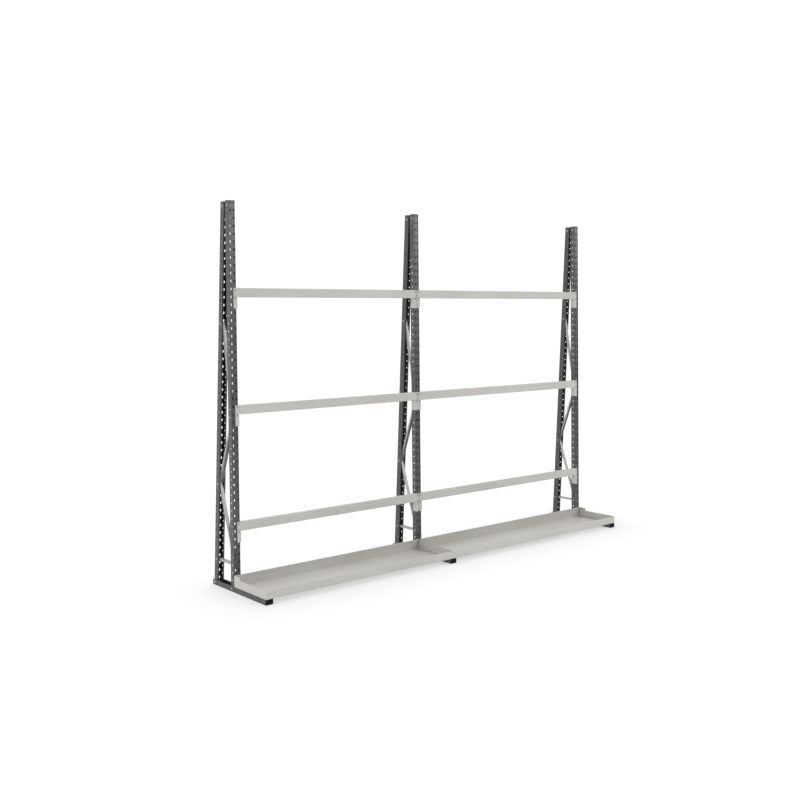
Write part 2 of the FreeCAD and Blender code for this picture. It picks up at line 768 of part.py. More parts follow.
for frame, frame_x in FRAME_X.items():
    front = make_upright(f"{frame}_front_upright")
    place(front, frame_x, FRONT_FACE_Y, SEAT_Z, -FRONT_TILT)
    rear = make_upright(f"{frame}_rear_upright")
    place(rear, frame_x, REAR_FACE_Y, SEAT_Z, REAR_TILT, turned=True)
    foot = make_foot(f"{frame}_foot")
    place(foot, frame_x, foot_start_y(), 0)
    cap = make_cap(f"{frame}_foot_cap")
    place(cap, frame_x, foot_start_y() - value("Sizes.cap_plate"), 0)
    parts += [front, rear, foot, cap]

    for brace, (start, end, width, web_setback) in BRACES.items():
        item = make_brace(f"{frame}_{brace}_brace", width, f"Sizes.{brace}_span", web_setback)
        tilt = -math.atan2(end[0] - start[0], end[1] - start[1])
        place(item, frame_x, start[0], start[1], tilt)
        parts.append(item)

    link = make_link(f"{frame}_top_link")
    place(link, frame_x, LINK_FRONT[0], LINK_BOTTOM_Z)
    parts.append(link)
    for make, label in ((make_brace_rivets, "brace_rivets"), (make_sleeves, "brace_sleeves"),
                        (make_foot_bolts, "foot_bolts")):
        item = make(f"{frame}_{label}")
        place(item, frame_x, 0, 0)
        parts.append(item)

for bay, (start_frame, end_frame, width) in BAYS.items():
    for number, level in enumerate(LEVELS):
        height = value(f"Sizes.top_beam - {number}*Sizes.beam_step")
        y = FRONT_FACE_Y + height*math.sin(FRONT_TILT)
        z = SEAT_Z + height*math.cos(FRONT_TILT)
        edge = value("Sizes.upright_width/2 + Sizes.connector_side_gap + Sizes.connector_wall")
        beam = make_beam(f"{bay}_{level}_beam", width)
        place(beam, FRAME_X[start_frame] + edge, y, z, -FRONT_TILT)
        left_end = make_connector(f"{bay}_{level}_beam_left_connector", "")
        place(left_end, FRAME_X[start_frame], y, z, -FRONT_TILT)
        right_end = make_connector(f"{bay}_{level}_beam_right_connector", "-")
        place(right_end, FRAME_X[end_frame], y, z, -FRONT_TILT)
        parts += [beam, left_end, right_end]

left_tray = make_tray("left_tray", "-Sizes.tray_end_overhang", "Sizes.left_bay - Sizes.tray_joint_gap")
place(left_tray, FRAME_X["left"], tray_front_y(), value("Sizes.foot_height"))
right_tray = make_tray("right_tray", "Sizes.tray_joint_gap", "Sizes.right_bay + Sizes.tray_end_overhang")
place(right_tray, FRAME_X["middle"], tray_front_y(), value("Sizes.foot_height"))
parts += [left_tray, right_tray]

# ------------------------------------------------------- checks and the files

doc.recompute()
for item in doc.Objects:
    if "Invalid" in item.State or "Error" in item.State:
        raise RuntimeError(f"{item.Name} failed: {item.State}")

os.makedirs("parts", exist_ok=True)
for item in parts:
    shape = item.Shape
    if shape.isNull() or not shape.isValid():
        raise RuntimeError(f"{item.Label} has no valid shape")
    shape.exportStep(f"parts/{item.Label}.step")
    print(f"{item.Label}: {len(shape.Solids)} solid(s), {shape.Volume/1000:.1f} cm3")
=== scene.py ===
import math
import random

import bmesh
import bpy
from mathutils import Matrix, Vector


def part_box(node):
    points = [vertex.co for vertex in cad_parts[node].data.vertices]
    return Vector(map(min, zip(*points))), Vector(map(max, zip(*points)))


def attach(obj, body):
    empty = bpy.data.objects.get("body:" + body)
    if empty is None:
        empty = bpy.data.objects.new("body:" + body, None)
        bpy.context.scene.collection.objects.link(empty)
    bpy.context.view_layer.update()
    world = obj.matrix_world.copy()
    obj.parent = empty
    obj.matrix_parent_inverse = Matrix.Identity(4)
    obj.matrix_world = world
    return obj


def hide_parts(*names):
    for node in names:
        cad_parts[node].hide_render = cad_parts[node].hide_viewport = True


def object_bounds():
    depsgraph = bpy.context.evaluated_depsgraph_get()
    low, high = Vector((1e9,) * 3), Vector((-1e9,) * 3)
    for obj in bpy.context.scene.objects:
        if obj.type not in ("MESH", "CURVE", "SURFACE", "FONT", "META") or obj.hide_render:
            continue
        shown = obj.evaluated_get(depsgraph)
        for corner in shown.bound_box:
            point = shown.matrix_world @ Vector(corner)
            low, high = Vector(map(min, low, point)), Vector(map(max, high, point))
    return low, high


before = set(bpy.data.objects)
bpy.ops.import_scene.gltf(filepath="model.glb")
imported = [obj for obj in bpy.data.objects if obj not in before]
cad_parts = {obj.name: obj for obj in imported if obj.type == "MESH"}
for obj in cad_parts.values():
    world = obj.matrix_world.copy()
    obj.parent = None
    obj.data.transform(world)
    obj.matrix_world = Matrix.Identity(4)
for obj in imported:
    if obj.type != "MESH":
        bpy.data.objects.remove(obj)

# A two-bay lean-in rack. The CAD nodes keep their shapes and get painted, galvanised or
# moulded surfaces, some of them with rounded edges. The trays, foot caps, foot bolts and
# rivets are rebuilt in finer detail, and weld beads are added where beams meet connectors.

CAD_LOW, CAD_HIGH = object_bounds()
MM = 0.001

FRAMES = ("left", "middle", "right")
BAYS = ("left", "right")
LEVELS = ("top", "centre", "bottom")
BRACES = ("horizontal", "lower", "middle", "upper")
ENDS = ("left", "right")

# Samples taken by the materials for edges and corners
EDGE_SAMPLES = 4
OPENNESS_SAMPLES = 6

# Edges of the CAD nodes
SHEET_EDGE = 0.4*MM
MERGE_DISTANCE = 0.002*MM
SAME_POINT = 0.001*MM
FLAT_WITHIN = math.radians(0.5)

# Folded sheet of the trays
SHEET = 1.5*MM
FOLD_OUTSIDE = 3*MM
FOLD_STEPS = 6
HEM_HEIGHT = 10*MM
HEM_GAP = 0.4*MM
TRAY_LIP_DROP = 20*MM
TRAY_CORNER_RUN = 64*MM
TRAY_CORNER_SLOPE = 6*MM

# Flanged bolts and nuts. The hexagon's radii are shares of its width across flats.
HEX_FLATS = 13*MM
HEX_HEIGHT = 5.5*MM
HEX_START = 0.6*MM
HEX_CHAMFER_FROM = 0.48
HEX_CHAMFER_SLOPE = math.tan(math.radians(30))
HEX_TOP_FACE = 0.47
HEX_DISH_RIM = 0.36
HEX_DISH_CENTRE = 0.1
DISH_RIM_DEPTH = 0.5*MM
DISH_DEPTH = 0.6*MM
FLANGE_RADIUS = 7.8*MM
FLANGE_HEIGHT = 1*MM
FLANGE_CHAMFER = 0.3*MM
SHANK_RADIUS = 4*MM
SHANK_CHAMFER = 0.9*MM
SHANK_RECESS = 0.05*MM
SHANK_STEPS = 24
LONGEST_NUT = 20*MM

# Rivets
RIVET_HEAD_HEIGHT = 1.8*MM
RIVET_HEAD_STEPS = 6
RIVET_HEAD_FLAT = 0.4*MM
ROUND_STEPS = 48

# Weld beads
BEAD_RADIUS = 2.2*MM
BEAD_RIPPLE = 3*MM
BEAD_RINGS_PER_RIPPLE = 6
BEAD_FEWEST_RINGS = 4
BEAD_DIP = 0.14
BEAD_WANDER = 0.05
BEAD_END_SIZE = 0.35
BEAD_TAPER = 4
BEAD_SIDES = 10
BEAD_CORNER = 3*MM
BEAD_SETBACK = 0.5*MM

# Foot caps
CAP_PLATE = 3*MM
CAP_CORNER = 3*MM
CAP_CROWN = 0.8*MM
CAP_RIBS = 4
RIB_DEPTH = 1*MM
RIB_CROWN = 0.7*MM
RIB_ROOT = 0.3*MM
RIB_REACH = 3/8
RIB_END_FLAT = 0.05*MM
PLUG_INSET = 2.7*MM
PLUG_TOP_GAP = 0.4*MM
PLUG_LEAD = 1*MM
PLUG_TAPER = 0.8*MM

# Floor
FLOOR_RADIUS = 4.6
FLOOR_SIDES = 96
# The floor's glow dips near the rack as a painted contact shadow.
PAINTED_SHADOW_REACH = 0.55
GLOW_IN_PAINTED_SHADOW = 0.50
GLOW_PAST_PAINTED_SHADOW = 0.60
# The floor's glow grows towards its rim as painted light.
PAINTED_GLOW_ADDED_AT_RIM = 0.25

# Studio. Its light grows with the Y of a direction: -1 is in front of the rack, 1 behind.
DARKEST_DIRECTION = -1.0
BRIGHTEST_DIRECTION = 0.6
ROOM_DARKEST = 0.25
ROOM_BRIGHTEST = 1.05
BACKDROP_STRENGTH = 1.05

# Camera
CAMERA_EYE = (-5.017, -5.516, 1.842)
CAMERA_HEADING = math.radians(40.2)
CAMERA_DIP = math.radians(2.79)
SENSOR_WIDTH = 36
FOCAL_LENGTH = 45.48
LENS_SHIFT = -0.0575


# ------------------------------------------------------------------ materials

class Surface:
    """A Principled material, with short ways to add texture nodes to it."""

    def __init__(self, name, **fixed):
        self.material = bpy.data.materials.new(name)
        self.material.use_nodes = True
        self.tree = self.material.node_tree
        self.tree.nodes.clear()
        self.shader = self.tree.nodes.new("ShaderNodeBsdfPrincipled")
        output = self.tree.nodes.new("ShaderNodeOutputMaterial")
        self.tree.links.new(self.shader.outputs["BSDF"], output.inputs["Surface"])
        self.place = self.tree.nodes.new("ShaderNodeTexCoord").outputs["Object"]
        for socket, amount in fixed.items():
            self.shader.inputs[socket.replace("_", " ")].default_value = amount

    def put(self, socket, source):
        self.set_input(self.shader.inputs[socket], source)

    def set_input(self, target, source):
        """Link a socket to an input, or set the input to a value or an opaque colour."""
        if isinstance(source, bpy.types.NodeSocket):
            self.tree.links.new(source, target)
        elif target.type == "RGBA":
            target.default_value = (*source, 1.0)
        else:
            target.default_value = source

    def stretched(self, stretch, lean=0.0):
        """Object coordinates, turned about X by lean and scaled by stretch."""
        turn = self.tree.nodes.new("ShaderNodeVectorRotate")
        turn.rotation_type = "X_AXIS"
        turn.inputs["Angle"].default_value = lean
        self.tree.links.new(self.place, turn.inputs["Vector"])
        scale = self.tree.nodes.new("ShaderNodeMapping")
        scale.inputs["Scale"].default_value = stretch
        self.tree.links.new(turn.outputs["Vector"], scale.inputs["Vector"])
        return scale.outputs["Vector"]

    def noise(self, size, detail=3.0, stretch=None, lean=0.0):
        """Smooth noise whose features are about size metres."""
        node = self.tree.nodes.new("ShaderNodeTexNoise")
        node.inputs["Scale"].default_value = 1/size
        node.inputs["Detail"].default_value = detail
        source = self.place if stretch is None else self.stretched(stretch, lean)
        self.tree.links.new(source, node.inputs["Vector"])
        return node.outputs["Fac"]

    def mottle(self, size, low, high, to_low=0.0, to_high=1.0, **noise):
        """Noise with its values from low to high spread over to_low to to_high."""
        return self.remap(self.noise(size, **noise), low, high, to_low, to_high)

    def crystals(self, size, stretch):
        """A different grey for each cell of a crystal pattern."""
        node = self.tree.nodes.new("ShaderNodeTexVoronoi")
        node.inputs["Scale"].default_value = 1/size
        self.tree.links.new(self.stretched(stretch), node.inputs["Vector"])
        grey = self.tree.nodes.new("ShaderNodeRGBToBW")
        self.tree.links.new(node.outputs["Color"], grey.inputs["Color"])
        return grey.outputs["Val"]

    def remap(self, source, low, high, to_low=0.0, to_high=1.0):
        node = self.tree.nodes.new("ShaderNodeMapRange")
        node.inputs["From Min"].default_value = low
        node.inputs["From Max"].default_value = high
        node.inputs["To Min"].default_value = to_low
        node.inputs["To Max"].default_value = to_high
        self.tree.links.new(source, node.inputs["Value"])
        return node.outputs["Result"]

    def combine(self, operation, first, second):
        node = self.tree.nodes.new("ShaderNodeMath")
        node.operation = operation
        self.set_input(node.inputs[0], first)
        self.set_input(node.inputs[1], second)
        return node.outputs["Value"]

    def vector(self, operation, first, second=None, output="Vector"):
        node = self.tree.nodes.new("ShaderNodeVectorMath")
        node.operation = operation
        self.set_input(node.inputs[0], first)
        if second is not None:
            self.set_input(node.inputs[1], second)
        return node.outputs[output]

    def blend(self, factor, first, second):
        """Colour first where factor is 0 and second where it is 1."""
        node = self.tree.nodes.new("ShaderNodeMix")
        node.data_type = "RGBA"
        colours = [socket for socket in node.inputs if socket.type == "RGBA"]
        self.set_input(node.inputs["Factor"], factor)
        self.set_input(colours[0], first)
        self.set_input(colours[1], second)
        return next(socket for socket in node.outputs if socket.type == "RGBA")

    def cover(self, base, colour, mask, amount):
        """Base, with colour over it by amount where mask is 1."""
        return self.blend(self.combine("MULTIPLY", mask, amount), base, colour)

    def edges(self, width):
        """1 on edges, falling to 0 about width metres away from them."""
        rounded = self.tree.nodes.new("ShaderNodeBevel")
        rounded.samples = EDGE_SAMPLES
        rounded.inputs["Radius"].default_value = width
        true_normal = self.tree.nodes.new("ShaderNodeNewGeometry").outputs["Normal"]
        agreement = self.vector("DOT_PRODUCT", rounded.outputs["Normal"], true_normal, "Value")
        return self.remap(agreement, 0.99, 0.85)

    def openness(self, reach):
        """1 in the open, towards 0 in corners narrower than reach metres."""
        node = self.tree.nodes.new("ShaderNodeAmbientOcclusion")
        node.samples = OPENNESS_SAMPLES
        node.only_local = True
        node.inputs["Distance"].default_value = reach
        return node.outputs["AO"]

    def bump(self, height, depth, base=None):
        """Height from 0 to 1 stands for depth metres of relief."""
        node = self.tree.nodes.new("ShaderNodeBump")
        node.inputs["Strength"].default_value = 1.0
        node.inputs["Distance"].default_value = depth
        self.tree.links.new(height, node.inputs["Height"])
        if base is not None:
            self.tree.links.new(base, node.inputs["Normal"])
        return node.outputs["Normal"]


def shelf_paint():
    """Light warm grey powder coat: fine orange peel, faint handling marks, thin edges."""
    warm_grey = (0.485, 0.475, 0.442)
    pale_grey = (0.53, 0.52, 0.49)
    dust_grey = (0.40, 0.385, 0.35)
    rub_grey = (0.62, 0.61, 0.59)
    edge_grey = (0.70, 0.69, 0.66)
    surface = Surface("shelf_paint", Metallic=0.0, IOR=1.5)
    broad = surface.mottle(450*MM, 0.35, 0.65, detail=2.0)
    dust = surface.mottle(20*MM, 0.3, 0.7, detail=4.0)
    rubs = surface.mottle(12*MM, 0.66, 0.74, detail=5.0, stretch=(1, 0.06, 0.5))
    broken = surface.mottle(8*MM, 0.5, 0.62)
    thin_edges = surface.combine("MULTIPLY", surface.edges(1.2*MM), broken)
    base = surface.blend(broad, warm_grey, pale_grey)
    dusted = surface.cover(base, dust_grey, dust, 0.12)
    rubbed = surface.cover(dusted, rub_grey, rubs, 0.25)
    surface.put("Base Color", surface.cover(rubbed, edge_grey, thin_edges, 0.55))
    gloss = surface.mottle(150*MM, 0.3, 0.7, 0.36, 0.5)
    duller = surface.combine("MULTIPLY", rubs, 0.12)
    surface.put("Roughness", surface.combine("ADD", gloss, duller))
    waves = surface.bump(surface.noise(350*MM, 1.0), 1.2*MM)
    surface.put("Normal", surface.bump(surface.noise(3*MM, 2.0), 0.05*MM, waves))
    return surface.material


def upright_paint(name, lean):
    """Dark grey coat on roll-formed steel: streaks along the length, lighter worn edges, and
    painted shade, near black, in recesses and inside channels.
    """
    dark_grey = (0.032, 0.032, 0.033)
    mid_grey = (0.050, 0.050, 0.049)
    streak_grey = (0.09, 0.09, 0.09)
    scuff_grey = (0.12, 0.12, 0.115)
    edge_grey = (0.22, 0.22, 0.21)
    painted_shade_black = (0.006, 0.006, 0.006)
    surface = Surface(name, Metallic=0.0, IOR=1.6)
    broad = surface.mottle(300*MM, 0.3, 0.7)
    streaks = surface.mottle(4*MM, 0.4, 0.7, stretch=(1, 1, 0.02), lean=lean)
    specks = surface.mottle(6*MM, 0.62, 0.7, detail=5.0)
    broken = surface.mottle(20*MM, 0.35, 0.6, detail=4.0)
    worn_edges = surface.combine("MULTIPLY", surface.edges(1.0*MM), broken)
    base = surface.blend(broad, dark_grey, mid_grey)
    rolled = surface.cover(base, streak_grey, streaks, 0.4)
    scuffed = surface.cover(rolled, scuff_grey, specks, 0.4)
    worn = surface.cover(scuffed, edge_grey, worn_edges, 0.6)
    # Painted shade: the coat turns near black in recesses and inside channels, where little
    # light reaches, and is rougher there too.
    painted_shade = surface.remap(surface.openness(60*MM), 0.75, 0.35)
    surface.put("Base Color", surface.blend(painted_shade, worn, painted_shade_black))
    gloss = surface.mottle(50*MM, 0.3, 0.7, 0.3, 0.44, detail=4.0)
    duller = surface.combine("MULTIPLY", painted_shade, 0.3)
    surface.put("Roughness", surface.combine("ADD", gloss, duller))
    ripple_height = surface.noise(50*MM, 1.0, stretch=(1, 1, 0.2), lean=lean)
    ripples = surface.bump(ripple_height, 0.25*MM)
    surface.put("Normal", surface.bump(surface.noise(2.5*MM, 2.0), 0.04*MM, ripples))
    return surface.material


def zinc_sheet():
    """Bright galvanised sheet: faint crystals, rolling lines and duller patches."""
    blue_grey = (0.36, 0.37, 0.375)
    bright_grey = (0.52, 0.52, 0.515)
    line_grey = (0.28, 0.28, 0.28)
    dull_grey = (0.32, 0.315, 0.305)
    surface = Surface("zinc_steel", Metallic=0.6)
    crystals = surface.crystals(9*MM, stretch=(1, 1, 0.7))
    lines = surface.mottle(1.5*MM, 0.4, 0.65, detail=2.0, stretch=(1, 1, 0.02))
    patches = surface.mottle(50*MM, 0.5, 0.68, detail=4.0)
    base = surface.blend(crystals, blue_grey, bright_grey)
    lined = surface.cover(base, line_grey, lines, 0.2)
    surface.put("Base Color", surface.cover(lined, dull_grey, patches, 0.35))
    surface.put("Roughness", surface.remap(crystals, 0.2, 0.8, 0.5, 0.64))
    surface.put("Normal", surface.bump(surface.noise(4*MM), 0.05*MM))
    return surface.material


def zinc_plating():
    """Zinc-plated fasteners: bright, with slightly yellow, duller blotches."""
    yellow_grey = (0.42, 0.405, 0.375)
    bright_grey = (0.56, 0.56, 0.55)
    surface = Surface("zinc_bolts", Metallic=0.85)
    brightness = surface.mottle(4*MM, 0.35, 0.65, detail=4.0)
    surface.put("Base Color", surface.blend(brightness, yellow_grey, bright_grey))
    surface.put("Roughness", surface.remap(brightness, 0.0, 1.0, 0.42, 0.26))
    surface.put("Normal", surface.bump(surface.noise(0.8*MM, 2.0), 0.02*MM))
    return surface.material


def moulded_plastic():
    """Black moulded plastic with a fine eroded texture and a few pale scuffs."""
    deep_black = (0.004, 0.004, 0.004)
    soft_black = (0.008, 0.008, 0.009)
    scuff_grey = (0.09, 0.09, 0.09)
    surface = Surface("black_plastic", Metallic=0.0, IOR=1.2)
    broad = surface.mottle(20*MM, 0.3, 0.7)
    scuffs = surface.mottle(6*MM, 0.62, 0.72, detail=5.0, stretch=(0.3, 1, 1))
    broken = surface.mottle(10*MM, 0.4, 0.6)
    edge_scuffs = surface.combine("MULTIPLY", surface.edges(1.0*MM), broken)
    faint_scuffs = surface.combine("MULTIPLY", scuffs, 0.3)
    faint_edges = surface.combine("MULTIPLY", edge_scuffs, 0.4)
    marks = surface.combine("MAXIMUM", faint_scuffs, faint_edges)
    base = surface.blend(broad, deep_black, soft_black)
    surface.put("Base Color", surface.blend(marks, base, scuff_grey))
    surface.put("Roughness", surface.mottle(4*MM, 0.3, 0.7, 0.5, 0.66))
    surface.put("Normal", surface.bump(surface.noise(1.2*MM, 2.0), 0.06*MM))
    return surface.material


# ---------------------------------------------------------- reading the frame

def box_of(points):
    """The low and the high corner of the box round some points."""
    low = Vector(min(point[axis] for point in points) for axis in range(3))
    high = Vector(max(point[axis] for point in points) for axis in range(3))
    return low, high


def lean_of(node):
    """The angle about X, in radians, that an upright leans from the vertical."""
    points = [vertex.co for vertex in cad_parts[node].data.vertices]
    low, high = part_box(node)
    slice_height = 60*MM
    bottom = min(point.y for point in points if point.z < low.z + slice_height)
    top = min(point.y for point in points if point.z > high.z - slice_height)
    return math.atan2(top - bottom, high.z - low.z)


def solids_of(node):
    """The box of each separate solid in a node, as (low corner, high corner)."""
    mesh = bmesh.new()
    mesh.from_mesh(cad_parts[node].data)
    bmesh.ops.remove_doubles(mesh, verts=mesh.verts, dist=SAME_POINT)
    boxes = []
    seen = set()
    for start in mesh.verts:
        if start in seen:
            continue
        seen.add(start)
        waiting = [start]
        island = []
        while waiting:
            vertex = waiting.pop()
            island.append(vertex.co.copy())
            for edge in vertex.link_edges:
                other = edge.other_vert(vertex)
                if other not in seen:
                    seen.add(other)
                    waiting.append(other)
        boxes.append(box_of(island))
    mesh.free()
    return boxes


# ------------------------------------------------------------- mesh building

def new_piece(name, mesh, material, smooth_angle=35):
    """An object from a bmesh, shaded smooth up to an angle."""
    bmesh.ops.recalc_face_normals(mesh, faces=mesh.faces)
    data = bpy.data.meshes.new(name)
    mesh.to_mesh(data)
    mesh.free()
    for polygon in data.polygons:
        polygon.use_smooth = True
    data.set_sharp_from_angle(angle=math.radians(smooth_angle))
    data.materials.append(material)
    piece = bpy.data.objects.new(name, data)
    bpy.context.scene.collection.objects.link(piece)
    return piece


def quarter_turn(steps):
    """Angles in radians from 0 to a right angle."""
    return [math.pi/2*step/steps for step in range(steps + 1)]


def skin(mesh, rings):
    """Faces between rings of as many vertices each, and a face on each open end."""
    total = len(rings[0])
    for near, far in zip(rings, rings[1:]):
        for index in range(total):
            following = (index + 1) % total
            mesh.faces.new((near[index], near[following], far[following], far[index]))
    mesh.faces.new(rings[0])
    mesh.faces.new(rings[-1])


def add_prism(mesh, outline, low_x, high_x):
    """A closed prism along X over an outline of (y, z) points."""
    rings = []
    for x in (low_x, high_x):
        rings.append([mesh.verts.new((x, y, z)) for y, z in outline])
    skin(mesh, rings)


def add_layers(mesh, centre_x, layers):
    """A closed shape through a stack of outlines. Each layer is (y, points in x and z)."""
    rings = []
    for y, points in layers:
        rings.append([mesh.verts.new((centre_x + x, y, z)) for x, z in points])
    skin(mesh, rings)


def add_lathe(mesh, profile, start, direction, steps=ROUND_STEPS, reshape=None):
    """A closed turned shape along X. profile is (distance along, radius) pairs.

    reshape(angle, along, radius) may change the distance along and the radius.
    """
    rings = []
    for along, radius in profile:
        ring = []
        for step in range(steps):
            angle = 2*math.pi*step/steps
            place, reach = along, radius
            if reshape is not None:
                place, reach = reshape(angle, along, radius)
            offset = Vector((direction*place, reach*math.cos(angle), reach*math.sin(angle)))
            ring.append(mesh.verts.new(start + offset))
        rings.append(ring)
    skin(mesh, rings)


def bent_strip(corners, radii, thickness, steps=5):
    """The outline of a sheet that follows a line of (y, z) corners, with round bends."""
    points = [Vector(corner) for corner in corners]
    middle = [(points[0], (points[1] - points[0]).normalized())]
    for index, radius in enumerate(radii, start=1):
        before = (points[index] - points[index - 1]).normalized()
        after = (points[index + 1] - points[index]).normalized()
        turn = before.angle_signed(after)
        side = 1 if turn > 0 else -1
        normal = Vector((before.y, -before.x))*side
        start = points[index] - before*radius*math.tan(abs(turn)/2)
        centre = start + normal*radius
        for step in range(steps + 1):
            spin = Matrix.Rotation(-turn*step/steps, 2)
            middle.append((centre + spin @ (start - centre), spin @ before))
    middle.append((points[-1], (points[-1] - points[-2]).normalized()))
    left = []
    right = []
    for point, heading in middle:
        across = Vector((-heading.y, heading.x))*thickness/2
        left.append(tuple(point + across))
        right.append(tuple(point - across))
    return left + right[::-1]


def round_edges(piece, width, segments=2, angle=40):
    """Round a piece's sharp edges without changing its mesh."""
    weld = piece.modifiers.new("weld", "WELD")
    weld.merge_threshold = MERGE_DISTANCE
    flatten = piece.modifiers.new("flatten", "DECIMATE")
    flatten.decimate_type = "DISSOLVE"
    flatten.angle_limit = FLAT_WITHIN
    bevel = piece.modifiers.new("edges", "BEVEL")
    bevel.width = width
    bevel.segments = segments
    bevel.limit_method = "ANGLE"
    bevel.angle_limit = math.radians(angle)
    bevel.harden_normals = True


# --------------------------------------------------------------------- trays

def tray_profiles(low, high):
    """Outlines of the front wall with its hem, the floor, and the rear wall with its hem."""
    middle = SHEET/2
    hem_step = SHEET + HEM_GAP
    hem_bend = hem_step/2
    fold = FOLD_OUTSIDE - middle
    front = low.y + middle
    rear = high.y - middle
    floor = low.z + middle
    wall_start = low.z + FOLD_OUTSIDE
    lip_top = high.z - TRAY_LIP_DROP - middle
    back_top = high.z - middle
    front_wall = [
        (front, wall_start),
        (front, lip_top),
        (front + hem_step, lip_top),
        (front + hem_step, lip_top - HEM_HEIGHT),
    ]
    rear_wall = [
        (rear, wall_start),
        (rear, back_top),
        (rear - hem_step, back_top),
        (rear - hem_step, back_top - HEM_HEIGHT),
    ]
    base = [(front, wall_start), (front, floor), (rear, floor), (rear, wall_start)]
    return (
        bent_strip(front_wall, [hem_bend, hem_bend], SHEET),
        bent_strip(base, [fold, fold], SHEET),
        bent_strip(rear_wall, [hem_bend, hem_bend], SHEET),
    )


def add_tray_end(mesh, low, high, outer_x, inward):
    """An end wall folded up from the floor. inward is the X direction into the tray."""
    front = low.y + SHEET
    rear = high.y - SHEET
    lip = high.z - TRAY_LIP_DROP
    slope_top = high.y - TRAY_CORNER_RUN - TRAY_CORNER_SLOPE/2
    slope_foot = slope_top - TRAY_CORNER_SLOPE/2
    wall_start = low.z + FOLD_OUTSIDE
    outline = [
        (front, wall_start),
        (rear, wall_start),
        (rear, high.z),
        (slope_top, high.z),
        (slope_foot, lip),
        (front, lip),
    ]
    add_prism(mesh, outline, outer_x, outer_x + inward*SHEET)
    # The bend from the floor into the wall, as a quarter ring swept along Y.
    centre_x = outer_x + inward*FOLD_OUTSIDE
    arcs = []
    for radius in (FOLD_OUTSIDE, FOLD_OUTSIDE - SHEET):
        arc = []
        for angle in quarter_turn(FOLD_STEPS):
            x = centre_x - inward*radius*math.cos(angle)
            z = wall_start - radius*math.sin(angle)
            arc.append((x, z))
        arcs.append(arc)
    section = arcs[0] + arcs[1][::-1]
    add_layers(mesh, 0.0, [(front, section), (rear, section)])


def make_tray(bay, material):
    node = f"{bay}_tray"
    low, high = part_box(node)
    front_wall, base, rear_wall = tray_profiles(low, high)
    mesh = bmesh.new()
    add_prism(mesh, front_wall, low.x, high.x)
    add_prism(mesh, base, low.x + FOLD_OUTSIDE, high.x - FOLD_OUTSIDE)
    add_prism(mesh, rear_wall, low.x, high.x)
    add_tray_end(mesh, low, high, low.x, 1)
    add_tray_end(mesh, low, high, high.x, -1)
    tray = new_piece(f"{bay}_folded_tray", mesh, material)
    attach(tray, f"{bay}_tray_body")
    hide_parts(node)


# ----------------------------------------------------- caps, bolts and rivets

def rounded_rectangle(half_width, low_z, high_z, radius, steps=5):
    """Points (x, z) of a rectangle with round corners."""
    points = []
    corners = [
        (half_width - radius, high_z - radius, 0),
        (-half_width + radius, high_z - radius, 90),
        (-half_width + radius, low_z + radius, 180),
        (half_width - radius, low_z + radius, 270),
    ]
    for x, z, start in corners:
        for step in range(steps + 1):
            angle = math.radians(start + 90*step/steps)
            points.append((x + radius*math.cos(angle), z + radius*math.sin(angle)))
    return points


def crowned(rim_y, crown, steps, outline_at):
    """Layers of a front edge rounded by crown. outline_at(inset) gives an outline."""
    layers = []
    for angle in quarter_turn(steps):
        inset = crown*(1 - math.sin(angle))
        y = rim_y + crown*(1 - math.cos(angle))
        layers.append((y, outline_at(inset)))
    return layers


def make_cap(name, material):
    """A moulded end cap: a crowned plate with ribs, and a tapered plug behind it."""
    node = f"{name}_foot_cap"
    low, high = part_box(node)
    centre_x = (low.x + high.x)/2
    half = (high.x - low.x)/2
    front = low.y + RIB_DEPTH
    rear = front + CAP_PLATE
    mesh = bmesh.new()

    def plate_outline(inset):
        return rounded_rectangle(half - inset, low.z + inset, high.z - inset, CAP_CORNER - inset)

    plate = crowned(front, CAP_CROWN, 4, plate_outline)
    plate.append((rear, plate_outline(0.0)))
    add_layers(mesh, centre_x, plate)

    def plug_outline(taper):
        inset = PLUG_INSET + taper
        return rounded_rectangle(
            half - inset, low.z + inset, high.z - PLUG_TOP_GAP - taper, CAP_CORNER)

    plug = [
        (rear, plug_outline(0.0)),
        (high.y - PLUG_LEAD, plug_outline(0.0)),
        (high.y, plug_outline(PLUG_TAPER)),
    ]
    add_layers(mesh, centre_x, plug)

    # Ribs and the gaps between and beside them are all one pitch wide.
    pitch = 2*half/(2*CAP_RIBS + 1)
    middle_z = (low.z + high.z)/2
    reach = (high.z - low.z)*RIB_REACH

    def rib_outline(inset):
        side = pitch/2 - inset
        low_z = middle_z - reach + inset
        high_z = middle_z + reach - inset
        return rounded_rectangle(side, low_z, high_z, side - RIB_END_FLAT)

    rib = crowned(low.y, RIB_CROWN, 3, rib_outline)
    rib.append((front + RIB_ROOT, rib_outline(0.0)))
    for number in range(CAP_RIBS):
        rib_x = -half + (2*number + 1.5)*pitch
        add_layers(mesh, centre_x + rib_x, rib)
    cap = new_piece(f"{name}_moulded_cap", mesh, material)
    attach(cap, "frames")
    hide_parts(node)


